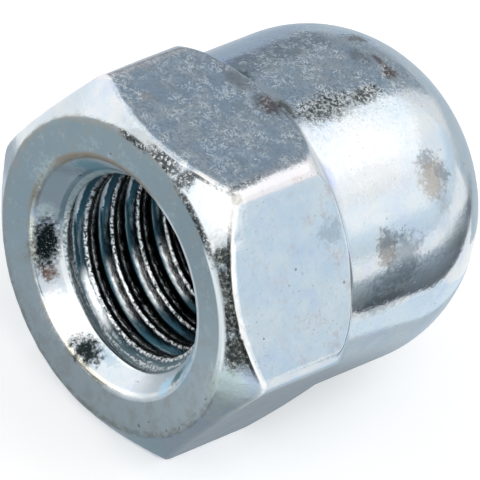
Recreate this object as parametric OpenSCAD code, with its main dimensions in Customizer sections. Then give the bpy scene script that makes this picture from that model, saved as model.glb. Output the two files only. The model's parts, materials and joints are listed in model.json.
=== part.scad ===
// Domed cap nut for a metric screw: a hexagon and a closed dome forged in one piece,
// with a countersunk blind hole. It lies on one of its flats, its mouth towards -Y and
// its dome towards +Y. The origin is the centre of the bearing face. Millimetres.

/* [Thread] */
// Nominal size of the thread, the outer diameter of the screw that it takes
thread_d = 8; // [6:0.1:9.6]
// Height of the thread's ridges above their roots, as formed
thread_height = 0.5; // [0.3:0.05:0.7]
// Width of the countersink at the mouth, beyond the thread on each side
countersink_margin = 0.6; // [0.2:0.05:0.8]
// Full angle of the countersink
countersink_angle = 80; // [60:1:120]
// Full angle of the cone that the drill left at the bottom of the hole
drill_angle = 118; // [90:1:140]
// Thickness of metal between the drilled cone's tip and the top of the dome
crown_wall = 1.5; // [1:0.1:3]

/* [Hexagon] */
// Width across the flats, the size of the spanner less its play
across_flats = 12.8; // [12:0.1:16]
// Height at which the middle of each flat ends in the shoulder
hex_h = 5.7; // [4.5:0.1:7]
// Radius of the six rounded corner edges
corner_r = 0.8; // [0.2:0.05:1.5]
// How far the bearing face's rim lies inside the flats
face_inset = 0.43; // [0.1:0.01:0.8]
// Slope of the chamfer behind the bearing face
chamfer_angle = 38; // [15:1:45]
// How much sooner the corner edges end in the shoulder than the flats do
shoulder_drop = 1.1; // [0.6:0.1:2]
// Radius of the rounded shoulder, seen from the side
shoulder_r = 2; // [1.3:0.1:4]

/* [Dome] */
// Height of the whole nut
total_h = 15.1; // [12.5:0.1:20]
// Step from the flats in to the dome's straight wall
dome_step = 0.1; // [0.05:0.05:0.8]
// Radius that rounds the wall over into the crown, seen from the side
dome_corner_r = 5; // [4:0.1:5.2]
// Radius of the crown
crown_r = 7.9; // [6.5:0.1:12]
// Radius of the hollow where the shoulder meets the dome
neck_r = 0.25; // [0.1:0.05:0.6]

/* [Hidden] */
$fn = 128;

FLATS = 6;
CORNER_STEP = 360 / FLATS;
REACH = 2 * across_flats; // well beyond the nut, for the open sides of what trims it
EPS = 0.01;

half_flats = across_flats / 2;
corner_centre = (half_flats - corner_r) / cos(CORNER_STEP / 2);
corner_reach = corner_centre + corner_r; // from the axis to a rounded corner edge
face_r = half_flats - face_inset;
dome_r = half_flats - dome_step;

hole_r = thread_d / 2 - thread_height;
mouth_r = thread_d / 2 + countersink_margin;
countersink_h = (mouth_r - hole_r) / tan(countersink_angle / 2);
drill_h = hole_r / tan(drill_angle / 2);
hole_h = total_h - crown_wall - drill_h; // where the full width of the hole ends

// The shoulder's arc runs from the end of a corner edge to the end of a flat's middle.
shoulder_centre = arc_centre(
    [corner_reach, hex_h - shoulder_drop], [half_flats, hex_h], shoulder_r
);

// The hollow's arc touches the shoulder's arc and the dome's wall.
neck_centre_r = dome_r + neck_r;
neck_centre_h = shoulder_centre[1]
    + sqrt(pow(shoulder_r + neck_r, 2) - pow(neck_centre_r - shoulder_centre[0], 2));
neck_centre = [neck_centre_r, neck_centre_h];

// The wall's arc touches the crown's arc from inside. The crown's centre is on the axis.
crown_centre = [0, total_h - crown_r];
wall_h = crown_centre[1]
    + sqrt(pow(crown_r - dome_corner_r, 2) - pow(dome_r - dome_corner_r, 2));
dome_corner_centre = [dome_r - dome_corner_r, wall_h];
to_crown_edge = (dome_corner_centre - crown_centre) / (crown_r - dome_corner_r);

// Centre of the arc of radius r from a to b, on the left of the way from a to b
function arc_centre(a, b, r) =
    let (
        chord = b - a,
        reach = sqrt(pow(r, 2) - pow(norm(chord) / 2, 2)),
        left = [-chord[1], chord[0]] / norm(chord)
    )
    (a + b) / 2 + left * reach;

// Hexagon with round corners, one flat facing +Y and one -Y
module hex_outline() {
    corners = [for (i = [0 : FLATS - 1]) let (turn = i * CORNER_STEP)
        corner_centre * [cos(turn), sin(turn)]];
    polygon([
        for (i = [0 : FLATS - 1], side = [-1, 1])
            let (normal = (i + side / 2) * CORNER_STEP)
            corners[i] + corner_r * [cos(normal), sin(normal)]
    ]);
    for (corner = corners)
        translate(corner) circle(corner_r);
}

// What of a section lies above from_h, on the outer side of the axis
module outside_axis(from_h) {
    intersection() {
        translate([0, from_h]) square(REACH);
        children();
    }
}

// Half section of the trim at the bearing face: a cone that cuts the corners back
module chamfer_section() {
    polygon([
        [0, 0],
        [face_r, 0],
        [REACH, (REACH - face_r) * tan(chamfer_angle)],
        [REACH, REACH],
        [0, REACH]
    ]);
}

// Half section of the hexagon: clear of the corner edges, then the rounded shoulder
module shoulder_section() {
    square([REACH, shoulder_centre[1]]);
    outside_axis(0)
        translate(shoulder_centre) circle(shoulder_r);
}

// Half section of the fillet that leaves a small hollow between shoulder and dome
module neck_section() {
    difference() {
        polygon([shoulder_centre, neck_centre, [dome_r - EPS, neck_centre[1]]]);
        translate(neck_centre) circle(neck_r);
    }
}

// Half section of the dome: a straight wall, rounded over into a flatter crown
module dome_section() {
    square([dome_r, wall_h]);
    outside_axis(hex_h)
        translate(dome_corner_centre) circle(dome_corner_r);
    intersection() {
        translate(crown_centre) circle(crown_r);
        polygon([crown_centre, crown_centre + REACH * to_crown_edge, [0, REACH]]);
    }
}

// Half section of the hole: countersink, plain wall at the thread's ridges, drilled cone
module hole_section() {
    polygon([
        [0, -EPS],
        [mouth_r + EPS * tan(countersink_angle / 2), -EPS],
        [hole_r, countersink_h],
        [hole_r, hole_h],
        [0, hole_h + drill_h]
    ]);
}

// The nut as it was forged, standing on its bearing face
module blank() {
    intersection() {
        linear_extrude(total_h) hex_outline();
        rotate_extrude()
            intersection() {
                chamfer_section();
                union() {
                    shoulder_section();
                    neck_section();
                    dome_section();
                }
            }
    }
}

module cap_nut() {
    color([0.74, 0.78, 0.80])
        rotate([-90, 0, 0])
            difference() {
                blank();
                rotate_extrude() hole_section();
            }
}

cap_nut();
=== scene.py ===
import json
import math

import bmesh
import bpy
from mathutils import Matrix, Vector, noise


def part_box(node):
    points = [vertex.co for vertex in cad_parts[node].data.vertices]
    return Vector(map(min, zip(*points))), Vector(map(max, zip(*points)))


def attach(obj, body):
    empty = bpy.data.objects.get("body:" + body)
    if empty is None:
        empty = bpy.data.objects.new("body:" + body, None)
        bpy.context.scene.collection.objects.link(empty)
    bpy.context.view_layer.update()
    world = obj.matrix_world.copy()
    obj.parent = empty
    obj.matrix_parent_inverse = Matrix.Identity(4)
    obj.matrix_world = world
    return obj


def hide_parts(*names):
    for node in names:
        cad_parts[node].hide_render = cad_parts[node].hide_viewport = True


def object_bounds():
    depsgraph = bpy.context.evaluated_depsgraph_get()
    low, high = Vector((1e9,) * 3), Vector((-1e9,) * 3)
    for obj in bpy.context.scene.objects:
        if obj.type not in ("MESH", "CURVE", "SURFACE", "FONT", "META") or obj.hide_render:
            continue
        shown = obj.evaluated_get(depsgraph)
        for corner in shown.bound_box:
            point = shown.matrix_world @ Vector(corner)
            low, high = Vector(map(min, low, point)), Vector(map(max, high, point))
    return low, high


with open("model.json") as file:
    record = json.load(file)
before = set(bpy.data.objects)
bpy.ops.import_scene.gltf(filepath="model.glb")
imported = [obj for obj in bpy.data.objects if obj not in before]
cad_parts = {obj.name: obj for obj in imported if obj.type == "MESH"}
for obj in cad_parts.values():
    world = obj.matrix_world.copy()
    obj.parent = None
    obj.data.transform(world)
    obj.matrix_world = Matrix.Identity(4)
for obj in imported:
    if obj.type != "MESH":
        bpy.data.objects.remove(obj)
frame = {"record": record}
cad_low, cad_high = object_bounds()

MM = 0.001  # the mesh is worked in millimetres and brought to metres at the end
AXIS = Vector((0, 1, 0))  # runs along the hole, from its mouth to the crown
X_AXIS = Vector((1, 0, 0))

# ---- sizes, in millimetres

nut_low, nut_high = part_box("cap_nut")
thread_mount = next(m for m in frame["record"]["mounts"] if m["name"] == "thread")

half_flats = nut_high.z / MM
corner_reach = nut_high.x / MM  # from the axis to a rounded corner edge
total_h = nut_high.y / MM

# The hexagon and its trim
FLATS = 6
FULL_TURN = 2 * math.pi
FLAT_ANGLE = FULL_TURN / FLATS
corner_r = 0.8
corner_centre = (half_flats - corner_r) / math.cos(FLAT_ANGLE / 2)
flat_half_w = (half_flats - corner_r) * math.tan(FLAT_ANGLE / 2)
face_r = half_flats - 0.43
chamfer_slope = math.tan(math.radians(38))
shoulder_end_h = 5.7  # where the middle of a flat ends
shoulder_start_h = shoulder_end_h - 1.1  # where a corner edge ends
shoulder_r = 2
lip_w = 0.15

# The dome
dome_r = half_flats - 0.1
dome_corner_r = 5
crown_r = 7.9
neck_r = 0.25

# The hole and its thread
ridge_r = thread_mount["dims"]["r_mm"]
groove_depth = 0.45
groove_r = ridge_r + groove_depth
pitch = 1.25
ridge_half_w = 0.21
seam_half_w = 0.1  # of the fold that forming left along a ridge's top
seam_depth = 0.05
mouth_r = ridge_r + 1.02
countersink_slope = math.tan(math.radians(40))
first_ridge_h = -0.06  # height of a ridge's middle straight above the axis
edge_blend = 0.06  # rounds the countersink's inner edge
thread_end_h = 10.2
hole_end_h = 11.5
drill_tip_h = 13.6

# Dents and burrs: where, how wide, and how deep, or how high with a minus
DENTS = {
    "bruise on the upper flat's far edge": ((0.5, 5.6, 6.4), 0.75, 0.1),
    "knock beside it": ((1.2, 5.6, 6.4), 0.45, 0.06),
    "nick at the corner": ((4.5, 0.75, 5.0), 0.32, 0.09),
    "nick low on the corner": ((5.9, 0.6, 2.6), 0.3, 0.06),
    "burr on the upper edge": ((1.6, 0.5, 6.42), 0.22, -0.05),
    "second burr": ((2.1, 0.6, 6.4), 0.2, -0.04),
    "knock on the chamfer": ((-3.0, 0.7, 6.2), 0.35, 0.05),
}

# Colours
BLUE_ZINC = (0.585, 0.66, 0.722)
GREY_ZINC = (0.66, 0.70, 0.715)
VIOLET_ZINC = (0.56, 0.61, 0.74)
PINK_ZINC = (0.70, 0.68, 0.70)
BROWNED_ZINC = (0.52, 0.46, 0.45)
DARK_ZINC = (0.36, 0.42, 0.47)
PALE_ZINC = (0.77, 0.775, 0.785)
FACE_ZINC = (0.27, 0.345, 0.38)
# The bearing face's paler lower right: a painted reflection of the floor
FACE_PAINTED_LIGHT_ZINC = (0.58, 0.64, 0.66)
BROWNED = (0.36, 0.34, 0.30)
CREAM = (0.90, 0.87, 0.75)
# Painted shade of the thread: black in its grooves and dark teal up its flanks, for the dark inside
# the hole
TEAL_PAINTED_SHADE = (0.025, 0.07, 0.095)
GROOVE_PAINTED_SHADE = (0.01, 0.016, 0.02)
STEEL_BLUE = (0.43, 0.54, 0.67)
RIDGE_SHADE = (0.10, 0.11, 0.11)
RIDGE_GREY = (0.34, 0.35, 0.34)
RIM_BROWN = (0.31, 0.26, 0.20)
GROOVE_TEAL = (0.24, 0.34, 0.38)
PAINTED_EDGE_HIGHLIGHT = (0.86, 0.87, 0.86)
CLEAN_ZINC = (0.96, 0.98, 0.95)
BLACK_GRAIN = (0.02, 0.028, 0.03)
OLIVE_GRAIN = (0.04, 0.044, 0.036)
GREY_GRAIN = (0.40, 0.42, 0.37)
WHITE_GRAIN = (0.86, 0.9, 0.92)
PIT_SHADE = (0.10, 0.10, 0.09)
BEIGE = (0.34, 0.29, 0.23)
UMBER = (0.13, 0.10, 0.10)
SLATE = (0.22, 0.25, 0.28)

# Stains: where, how wide along each axis, how ragged, how strong, and their colour. A later
# one lies over those before it. The cone is the countersink's.
STAINS = {
    "pale of the dome": ((3.2, 7.5, 5.4), (1.7, 2.4, 1.3), 1.0, 0.6, PALE_ZINC),
    "grey beside that pale": ((4.1, 7.5, 4.8), (0.7, 2.3, 0.8), 1.0, 0.7, (0.58, 0.60, 0.62)),
    "pale by the corner": ((3.5, 0.8, 5.7), (1.5, 0.72, 1.0), 0.5, 0.9, (0.84, 0.84, 0.84)),
    "pale of the cone": ((-2.0, 0.5, -3.7), (1.6, 0.6, 1.0), 0.8, 0.9, (0.84, 0.84, 0.84)),
    "blue of the cone": ((3.55, 0.3, -2.5), (0.45, 0.4, 0.6), 0.8, 0.9, (0.62, 0.86, 1.0)),
    "second blue of the cone": ((4.3, 0.3, -0.5), (0.5, 0.5, 1.6), 0.8, 0.8, (0.36, 0.60, 0.78)),
    "violet near the neck": ((3.5, 5.85, 5.2), (0.5, 0.32, 1.5), 1.0, 0.55, (0.42, 0.50, 0.76)),
    # Blue tint, and painted dark reflection on the far side of the dome
    "blue and painted dark reflection of the far dome": ((-3.4, 8.0, 5.2), (1.6, 3.8, 1.3), 0.8, 0.7, (0.28, 0.37, 0.50)),
    "violet of the dome": ((-2.8, 6.0, 5.9), (0.7, 0.6, 1.0), 1.2, 0.6, (0.38, 0.46, 0.72)),
    "teal of the low chamfer": ((3.4, 0.4, -5.5), (1.2, 0.8, 0.8), 1.6, 0.5, (0.40, 0.62, 0.64)),
    "green of the low corner": ((6.2, 0.3, -0.3), (0.9, 0.6, 1.3), 1.4, 0.8, (0.64, 0.71, 0.65)),
    "grey of the dome's stain": ((4.2, 10.3, 4.8), (0.5, 0.6, 0.4), 2.5, 0.7, SLATE),
    "beige of the dome's stain": ((4.6, 10.3, 4.2), (0.8, 0.8, 0.9), 1.6, 0.65, BEIGE),
    "dark fleck in it": ((4.5, 10.8, 4.2), (0.35, 0.45, 0.5), 2.5, 0.7, SLATE),
    "tail of the dome's stain": ((5.1, 10.5, 3.5), (0.4, 0.4, 0.5), 2.5, 0.25, BEIGE),
    # The next four are partly grime and partly painted reflection: they darken the dome's dark
    # band, which mirrors the dark floor behind the nut
    "grime and painted reflection low on the dome": ((6.2, 6.8, 1.1), (0.5, 1.0, 0.4), 1.6, 0.15, (0.16, 0.20, 0.22)),
    "grime and painted reflection on the dome's side": ((6.1, 8.1, 1.7), (0.5, 1.4, 0.6), 1.6, 0.55, (0.20, 0.23, 0.25)),
    "grime and painted reflection high on the dome": ((5.9, 10.9, 1.9), (0.5, 1.5, 0.35), 1.8, 0.3, (0.20, 0.23, 0.24)),
    "grime and painted reflection of the dark band": ((6.25, 7.35, 0.75), (0.5, 1.3, 0.45), 1.2, 0.6, (0.20, 0.24, 0.27)),
    "grey of the smudge": ((5.85, 8.4, 2.4), (0.7, 0.9, 1.0), 1.8, 0.8, (0.24, 0.29, 0.33)),
    "brown of the smudge": ((5.65, 7.55, 2.75), (0.6, 0.5, 1.0), 1.8, 0.75, (0.25, 0.23, 0.21)),
    "slate of the smudge": ((5.5, 7.8, 3.1), (0.5, 0.5, 0.4), 1.8, 0.5, (0.20, 0.22, 0.24)),
    "brown mark on the crown": ((0.9, 10.9, 6.1), (0.36, 0.42, 0.36), 1.2, 0.95, UMBER),
    "tail of that mark": ((0.3, 10.95, 6.15), (0.7, 0.2, 0.25), 1.2, 0.9, UMBER),
    "haze beside that mark": ((-0.2, 10.4, 6.2), (0.6, 0.5, 0.3), 2.2, 0.5, (0.24, 0.21, 0.20)),
    "smudge on the crown": ((-1.3, 11.2, 5.9), (0.4, 0.6, 0.4), 2.5, 0.7, UMBER),
    "green of the neck": ((-1.6, 5.9, 6.3), (0.7, 0.3, 0.4), 1.2, 0.7, (0.10, 0.17, 0.16)),
    "bruise": ((0.45, 5.4, 6.4), (0.6, 0.55, 0.5), 1.2, 0.9, (0.17, 0.125, 0.125)),
    "black of the bruise": ((0.8, 6.0, 6.2), (0.7, 0.22, 0.3), 1.2, 0.9, (0.06, 0.08, 0.08)),
    "brown of the far edge": ((-1.2, 5.2, 6.4), (0.8, 0.5, 0.4), 2.0, 0.5, (0.26, 0.24, 0.24)),
    "speck of the upper flat": ((-2.0, 1.6, 6.4), (0.35, 0.3, 0.3), 2.0, 0.5, UMBER),
    "brown on the corner": ((3.72, 1.05, 6.2), (0.24, 0.3, 0.26), 1.2, 0.6, (0.42, 0.40, 0.35)),
    "dark along the corner": ((3.42, 1.7, 6.36), (0.16, 1.1, 0.15), 1.6, 0.7, (0.13, 0.16, 0.17)),
    "pit of the side flat": ((5.45, 3.2, 3.4), (0.07, 0.09, 0.08), 0.6, 0.8, PIT_SHADE),
    "second pit there": ((5.7, 2.8, 3.0), (0.06, 0.07, 0.06), 0.6, 0.8, PIT_SHADE),
    "third pit there": ((6.0, 5.3, 2.4), (0.07, 0.07, 0.07), 0.6, 0.6, PIT_SHADE),
    "pit of the face": ((3.0, 0.0, -4.7), (0.08, 0.2, 0.07), 0.6, 0.6, PIT_SHADE),
    "second pit of the face": ((3.4, 0.0, -4.2), (0.06, 0.2, 0.06), 0.6, 0.6, PIT_SHADE),
    "third pit of the face": ((4.3, 0.0, -3.9), (0.07, 0.2, 0.06), 0.6, 0.6, PIT_SHADE),
    "smudge on the side flat": ((5.1, 5.0, 4.2), (0.5, 0.7, 0.6), 2.2, 0.4, (0.26, 0.30, 0.31)),
    "teal of the cone's top": ((-2.8, 0.6, 2.9), (1.4, 0.5, 0.8), 1.2, 0.8, (0.24, 0.47, 0.55)),
    "grey teal of the cone": ((-4.0, 0.35, 1.4), (0.8, 0.6, 1.3), 1.0, 0.6, (0.54, 0.66, 0.70)),
    "pale spot of the cone": ((-4.1, 0.45, -0.25), (0.45, 0.45, 0.4), 0.8, 1.0, (0.80, 0.90, 0.90)),
    "grey about the dark": ((-4.05, 0.3, -1.9), (0.6, 0.4, 1.2), 1.8, 0.5, (0.30, 0.31, 0.28)),
    "dark of the cone": ((-3.85, 0.48, -1.6), (0.78, 0.5, 1.5), 0.4, 1.0, (0.008, 0.014, 0.016)),
    "rust of the cone": ((-3.4, 0.5, -2.65), (0.42, 0.4, 0.34), 1.4, 0.9, (0.13, 0.06, 0.04)),
    "blue grey of the cone": ((0.15, 0.7, -3.95), (0.7, 0.3, 0.4), 1.4, 0.7, (0.42, 0.54, 0.62)),
    "second dark of the cone": ((-0.65, 0.4, -4.2), (0.75, 0.5, 0.6), 2.0, 1.0, BLACK_GRAIN),
    "teal of the cone": ((3.95, 0.35, -1.75), (0.42, 0.3, 0.55), 1.0, 0.9, (0.10, 0.24, 0.28)),
}

# Painted highlights on the thread's flanks: which way from the axis (x, z), how near that way at
# least, and between which distances from the ridge
PAINTED_FLANK_HIGHLIGHTS = (
    ((-0.5, -0.866), 0.93, -0.5, -0.24),
    ((-1.0, 0.02), 0.955, -0.58, -0.42),
)

# Patches of coarse plating on a face: where, and how wide along each axis
COARSE_PLACES = {
    "dome": (
        ((1.3, 7.4, 6.2), (0.7, 1.6, 0.5)),
        ((1.4, 9.2, 6.1), (0.4, 0.9, 0.4)),
    ),
    "chamfer": (
        ((0.9, 0.1, 6.1), (1.1, 0.5, 0.4)),
        ((1.9, 0.2, 6.0), (0.4, 0.5, 0.5)),
    ),
    "chamfer_foot": (
        ((-0.7, 0.1, 6.0), (1.0, 0.4, 0.4)),
        ((3.1, 0.1, 5.1), (1.7, 0.6, 1.5)),
    ),
    "chamfer_top": (
        ((4.5, 0.25, 4.4), (0.4, 0.6, 0.5)),
        ((5.0, 0.2, 3.6), (0.75, 0.6, 1.0)),
        ((5.6, 0.2, 2.6), (0.75, 0.6, 1.1)),
        ((6.25, 0.3, 1.4), (0.6, 0.6, 1.0)),
    ),
}

# How finely the mesh is divided
COLUMNS = 256
MERGE = 0.0005
JOIN_H = 0.4  # where the thread's mesh meets that of the outside, inside the countersink
JOIN_GAP = 0.1  # from there to the first row of the outside
LIP_SHARE = 0.3  # of the shoulder's rows, what goes to its lip
CROWDING = 0.55  # how much the columns gather at the hexagon's corners
BEVEL_ROWS = 4
RING_SLACK = 0.002  # within which an edge lies on a ring

# Rounding of the edges
mouth_round = 0.13
face_round = 0.16
flat_round = 0.09

# Wear: how deep it goes, and how close its waves are
tear_depth = 0.035
tear_waves = 6
edge_wear_depth = 0.04
edge_wear_w = 0.16
edge_wear_waves = 2.3
rim_wander = 0.03
rim_wander_w = 0.25
rim_waves = 2.2
swell_depth = 0.004
swell_waves = 0.8


def off_axis(place):
    return math.hypot(place.x, place.z)


def angle_of(place):
    """Angle round the axis, from the upper flat's middle."""
    return math.atan2(place.x, place.z)


def corner_arc_centre(a, b, r):
    """Centre of the arc of radius r from a to b, on the left of the way from a to b."""
    chord = b - a
    reach = math.sqrt(r ** 2 - (chord.length / 2) ** 2)
    left = Vector((-chord.y, chord.x)).normalized()
    return (a + b) / 2 + left * reach


def chamfer_h(r):
    return (r - face_r) * chamfer_slope


shoulder_centre = corner_arc_centre(
    Vector((corner_reach, shoulder_start_h)),
    Vector((half_flats, shoulder_end_h)),
    shoulder_r,
)


neck_centre = Vector((dome_r + neck_r, 0))
neck_centre.y = shoulder_centre.y + math.sqrt(
    (shoulder_r + neck_r) ** 2 - (neck_centre.x - shoulder_centre.x) ** 2
)
neck_bottom = neck_centre - Vector((neck_r, 0))
crown_centre = Vector((0, total_h - crown_r))
dome_corner_centre = Vector((dome_r - dome_corner_r, 0))
dome_corner_centre.y = crown_centre.y + math.sqrt(
    (crown_r - dome_corner_r) ** 2 - dome_corner_centre.x ** 2
)


def hexagon_reach(angle):
    """From the axis to the hexagon's side, at an angle from the upper flat's middle."""
    off_flat = abs((angle + FLAT_ANGLE / 2) % FLAT_ANGLE - FLAT_ANGLE / 2)
    if math.tan(off_flat) * half_flats < flat_half_w:
        return half_flats / math.cos(off_flat)
    off_corner = FLAT_ANGLE / 2 - off_flat
    across = corner_centre * math.sin(off_corner)
    return corner_centre * math.cos(off_corner) + math.sqrt(corner_r ** 2 - across ** 2)


# ---- the outside


def section_point(at):
    """A point of a half section, as (distance from the axis, height), in the YZ plane."""
    return Vector((0, at[1], at[0]))


def line_to(bm, tip, end, rows):
    """Carries the outline on from its last vertex in a straight line of so many rows."""
    step = (section_point(end) - tip.co) / rows
    for _ in range(rows):
        tip = bmesh.ops.extrude_vert_indiv(bm, verts=[tip])["verts"][0]
        tip.co += step
    return tip


def arc_to(bm, tip, centre, turn, rows):
    """Carries the outline on in an arc. A positive turn goes from outwards to upwards."""
    spun = bmesh.ops.spin(
        bm, geom=[tip], cent=section_point(centre), axis=X_AXIS, angle=-turn, steps=rows
    )
    return next(e for e in spun["geom_last"] if isinstance(e, bmesh.types.BMVert))


def direction(a, b):
    """Angle of the way from a to b, from outwards towards upwards."""
    return math.atan2(b[1] - a[1], b[0] - a[0])


def draw_outline(bm):
    """Rough half section of the outside at a corner, from inside the countersink to the crown."""
    cone_h = JOIN_H - JOIN_GAP
    tip = bm.verts.new(section_point((mouth_r - cone_h * countersink_slope, cone_h)))
    tip = line_to(bm, tip, (mouth_r, 0), 3)
    tip = line_to(bm, tip, (face_r, 0), 7)
    tip = line_to(bm, tip, (corner_reach, chamfer_h(corner_reach)), 6)
    tip = line_to(bm, tip, (corner_reach, shoulder_start_h), 20)
    tip = line_to(bm, tip, neck_bottom, 16)
    tip = line_to(bm, tip, dome_corner_centre + Vector((dome_corner_r, 0)), 14)
    over = direction(crown_centre, dome_corner_centre)
    tip = arc_to(bm, tip, dome_corner_centre, over, 24)
    tip = arc_to(bm, tip, crown_centre, math.pi / 2 - over, 18)
    tip.co = section_point((0, total_h))


def on_arc(centre, r, angle):
    return centre + r * Vector((math.cos(angle), math.sin(angle)))


def over_shoulder(side_r, way):
    """Point at a distance from the end of a flat, over the shoulder and into the neck.

    Also gives the distance to the neck's bottom. A flat's middle meets the neck's hollow.
    """
    touch = direction(shoulder_centre, neck_centre)
    shoulder_start = math.acos((side_r - shoulder_centre.x) / shoulder_r)
    neck_start = touch
    if shoulder_start > touch:
        neck_start = math.acos((neck_centre.x - side_r) / neck_r)
    on_shoulder = shoulder_r * max(touch - shoulder_start, 0)
    whole = on_shoulder + neck_r * neck_start
    if way < on_shoulder:
        return on_arc(shoulder_centre, shoulder_r, shoulder_start + way / shoulder_r), whole
    left = neck_start - (way - on_shoulder) / neck_r
    return on_arc(neck_centre, neck_r, math.pi + left), whole


def shoulder_point(side_r, part):
    """Point of the shoulder: first round the lip where a flat ends, then on to the neck."""
    end, whole = over_shoulder(side_r, 0)
    if part < LIP_SHARE:
        u = part / LIP_SHARE
        lip_start = end - Vector((0, lip_w))
        lip_end, _ = over_shoulder(side_r, lip_w)
        return (1 - u) ** 2 * lip_start + 2 * u * (1 - u) * end + u ** 2 * lip_end
    way = lip_w + (whole - lip_w) * (part - LIP_SHARE) / (1 - LIP_SHARE)
    return over_shoulder(side_r, way)[0]


def outside_point(angle, r, h):
    """Where a point of the rough section at a corner lies in the true one at this angle."""
    side_r = hexagon_reach(angle)
    chamfer_end = chamfer_h(corner_reach)
    if h <= chamfer_end:
        if r > face_r:
            r = face_r + (r - face_r) * (side_r - face_r) / (corner_reach - face_r)
            h = chamfer_h(r)
    elif h <= shoulder_start_h:
        part = (h - chamfer_end) / (shoulder_start_h - chamfer_end)
        r = side_r
        start = chamfer_h(r)
        h = start + part * (shoulder_point(side_r, 0).y - start)
    elif h < neck_bottom.y:
        part = (h - shoulder_start_h) / (neck_bottom.y - shoulder_start_h)
        r, h = shoulder_point(side_r, part)
    return r, h


def crowd_corners(angle, r, h):
    """Turns a column of vertices towards the hexagon's nearest corner, on the hexagon."""
    out = min(max((r - mouth_r) / (face_r - mouth_r), 0), 1)
    down = min(max((dome_corner_centre.y - h) / (dome_corner_centre.y - neck_bottom.y), 0), 1)
    return angle + CROWDING * out * down * math.sin(FLATS * angle) / FLATS


def make_outside(bm):
    """The bearing face, hexagon, shoulder and dome, open where the hole's mesh joins it."""
    draw_outline(bm)
    bmesh.ops.spin(
        bm, geom=bm.verts[:] + bm.edges[:], cent=(0, 0, 0), axis=AXIS,
        angle=FULL_TURN, steps=COLUMNS, use_merge=True,
    )
    bmesh.ops.remove_doubles(bm, verts=bm.verts[:], dist=MERGE)
    for vert in bm.verts:
        r = off_axis(vert.co)
        angle = crowd_corners(angle_of(vert.co), r, vert.co.y)
        r, h = outside_point(angle, r, vert.co.y)
        vert.co = (r * math.sin(angle), h, r * math.cos(angle))


# ---- the hole


def ridge_rise(offset):
    """Height of a ridge at a distance from its middle."""
    across = abs(offset)
    flank = min((pitch / 2 - across) / (pitch / 2 - ridge_half_w), 1)
    seam = max(1 - across / seam_half_w, 0)
    return groove_depth * flank ** 2 - seam_depth * seam ** 2


def draw_turn(bm):
    """Half section of one turn of the thread, from the middle of a groove to the next."""
    ridge_h = first_ridge_h - 2 * pitch
    tip = bm.verts.new(section_point((groove_r, ridge_h - pitch / 2)))
    for offset, rows in ((-ridge_half_w, 8), (-seam_half_w, 2), (0, 2)):
        tip = line_to(bm, tip, (groove_r, ridge_h + offset), rows)
    for offset, rows in ((seam_half_w, 2), (ridge_half_w, 2), (pitch / 2, 8)):
        tip = line_to(bm, tip, (groove_r, ridge_h + offset), rows)
    for vert in bm.verts:
        vert.co.z = groove_r - ridge_rise(vert.co.y - ridge_h)


def ramp(value, start, end):
    """Runs from 0 at start to 1 at end."""
    return min(max((value - start) / (end - start), 0), 1)


def hole_wall(place):
    """Distance from the axis to the hole's wall, given a point of the full thread."""
    rise = groove_r - off_axis(place)
    torn = ramp(rise, 0.6 * groove_depth, 0.85 * groove_depth)
    rise += torn * tear_depth * noise.noise(place * tear_waves)
    fade = ramp(-place.y, -thread_end_h, 2 * pitch - thread_end_h)
    threaded = ridge_r + (groove_depth - rise) * fade
    countersunk = mouth_r - place.y * countersink_slope
    near = max(edge_blend - abs(threaded - countersunk), 0) / edge_blend
    return max(threaded, countersunk) + near ** 2 * edge_blend / 4


def make_hole(bm):
    """The countersink, thread and drilled end, open where the outside's mesh joins it."""
    turns = math.ceil((hole_end_h - first_ridge_h) / pitch) + 4
    draw_turn(bm)
    bmesh.ops.spin(
        bm, geom=bm.verts[:] + bm.edges[:], cent=(0, 0, 0), axis=AXIS,
        angle=FULL_TURN, steps=COLUMNS, dvec=AXIS * pitch / COLUMNS,
    )
    one_turn = bm.verts[:] + bm.edges[:] + bm.faces[:]
    for turn in range(1, turns):
        copied = bmesh.ops.duplicate(bm, geom=one_turn)["geom"]
        copied_verts = [v for v in copied if isinstance(v, bmesh.types.BMVert)]
        bmesh.ops.translate(bm, verts=copied_verts, vec=AXIS * pitch * turn)
    bmesh.ops.remove_doubles(bm, verts=bm.verts[:], dist=MERGE)
    for vert in bm.verts:
        wall = hole_wall(vert.co) / off_axis(vert.co)
        vert.co.x *= wall
        vert.co.z *= wall
    for h, side in ((JOIN_H, -1), (hole_end_h, 1)):
        bmesh.ops.bisect_plane(
            bm, geom=bm.verts[:] + bm.edges[:] + bm.faces[:],
            plane_co=AXIS * h, plane_no=AXIS * side, clear_outer=True,
        )
    rim = [e for e in bm.edges if e.is_boundary and e.verts[0].co.y > total_h / 2]
    cone = bmesh.ops.extrude_edge_only(bm, edges=rim)["geom"]
    tip_verts = [v for v in cone if isinstance(v, bmesh.types.BMVert)]
    bmesh.ops.pointmerge(bm, verts=tip_verts, merge_co=AXIS * drill_tip_h)
    bmesh.ops.remove_doubles(bm, verts=bm.verts[:], dist=MERGE)


def join_hole(bm):
    """Closes the ring between the two open rims inside the countersink."""
    rims = [e for e in bm.edges if e.is_boundary]
    bmesh.ops.bridge_loops(bm, edges=rims)
    bmesh.ops.recalc_face_normals(bm, faces=bm.faces[:])


def on_ring(edge, r_at, h_at):
    """Whether both ends of an edge lie at these two functions of the angle."""
    for vert in edge.verts:
        angle = angle_of(vert.co)
        off = max(abs(off_axis(vert.co) - r_at(angle)), abs(vert.co.y - h_at(angle)))
        if off > RING_SLACK:
            return False
    return True


def soften(bm, r_at, h_at, width):
    """Rounds the ring of edges that lies at these two functions of the angle."""
    ring = [e for e in bm.edges if on_ring(e, r_at, h_at)]
    bmesh.ops.bevel(
        bm, geom=ring, affect="EDGES", offset=width, segments=BEVEL_ROWS,
        profile=0.5, material=-1, clamp_overlap=True,
    )


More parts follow.
